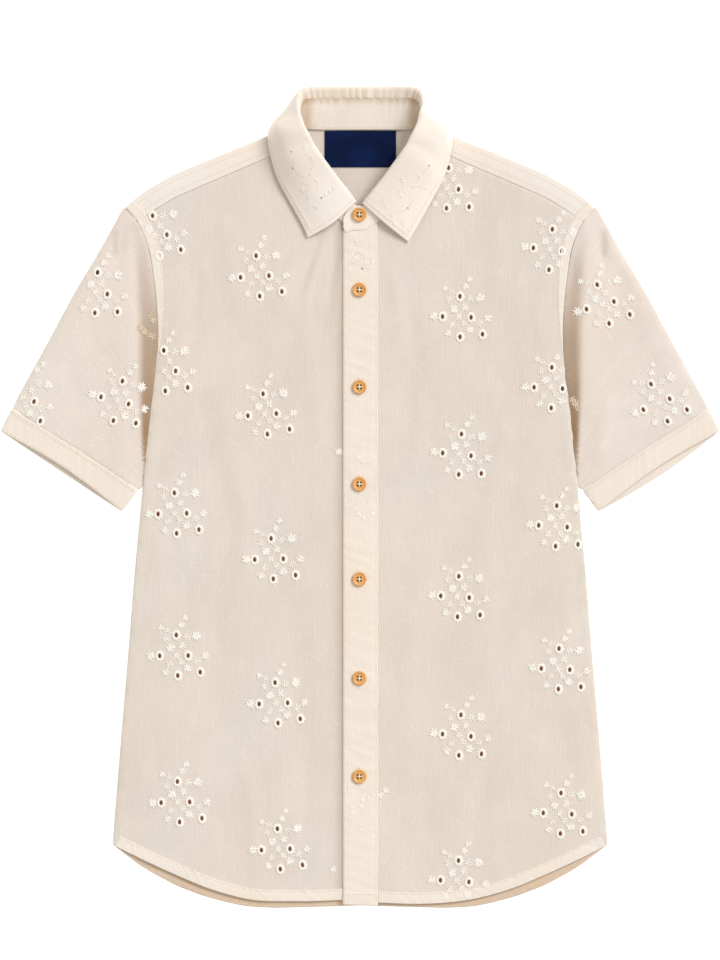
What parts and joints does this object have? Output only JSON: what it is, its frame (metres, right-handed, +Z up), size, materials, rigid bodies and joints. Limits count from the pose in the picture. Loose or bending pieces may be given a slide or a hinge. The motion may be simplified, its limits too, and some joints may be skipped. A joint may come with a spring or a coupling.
{
  "type": "embroidered short-sleeved shirt",
  "caption": "Short-sleeved button shirt of eyelet-embroidered cotton, laid flat with the front up, with a turned-down collar, placket, yoke and curved hem.",
  "frame": {"origin": "middle of the shirt's box in plan, on the surface that it lies on", "axes": "+X to the wearer's left, +Y from the hem to the collar, +Z up from the surface through the front"},
  "size_m": [0.7176, 0.8205, 0.0348],
  "materials": {
    "shirt_cloth": "semi-sheer slubbed cotton with eyelet embroidery",
    "double_cloth": "doubled cotton, stitched near its edges",
    "inner_cloth": "doubled cotton",
    "coconut_shell": "polished coconut shell",
    "label_satin": "bare woven satin"
  },
  "bodies": {
    "root": {"back_panel": "shirt_cloth", "yoke": "inner_cloth", "front_left": "shirt_cloth", "front_right": "shirt_cloth", "sleeve_left_front": "shirt_cloth", "sleeve_left_back": "shirt_cloth", "sleeve_right_front": "shirt_cloth", "sleeve_right_back": "shirt_cloth", "sleeve_band_left_front": "double_cloth", "sleeve_band_left_back": "double_cloth", "sleeve_band_right_front": "double_cloth", "sleeve_band_right_back": "double_cloth", "collar_stand": "double_cloth", "collar_leaf": "double_cloth", "front_placket": "double_cloth", "button_collar": "coconut_shell", "button_1": "coconut_shell", "button_2": "coconut_shell", "button_3": "coconut_shell", "button_4": "coconut_shell", "button_5": "coconut_shell", "button_6": "coconut_shell", "neck_label": "label_satin"}
  },
  "joints": []
}
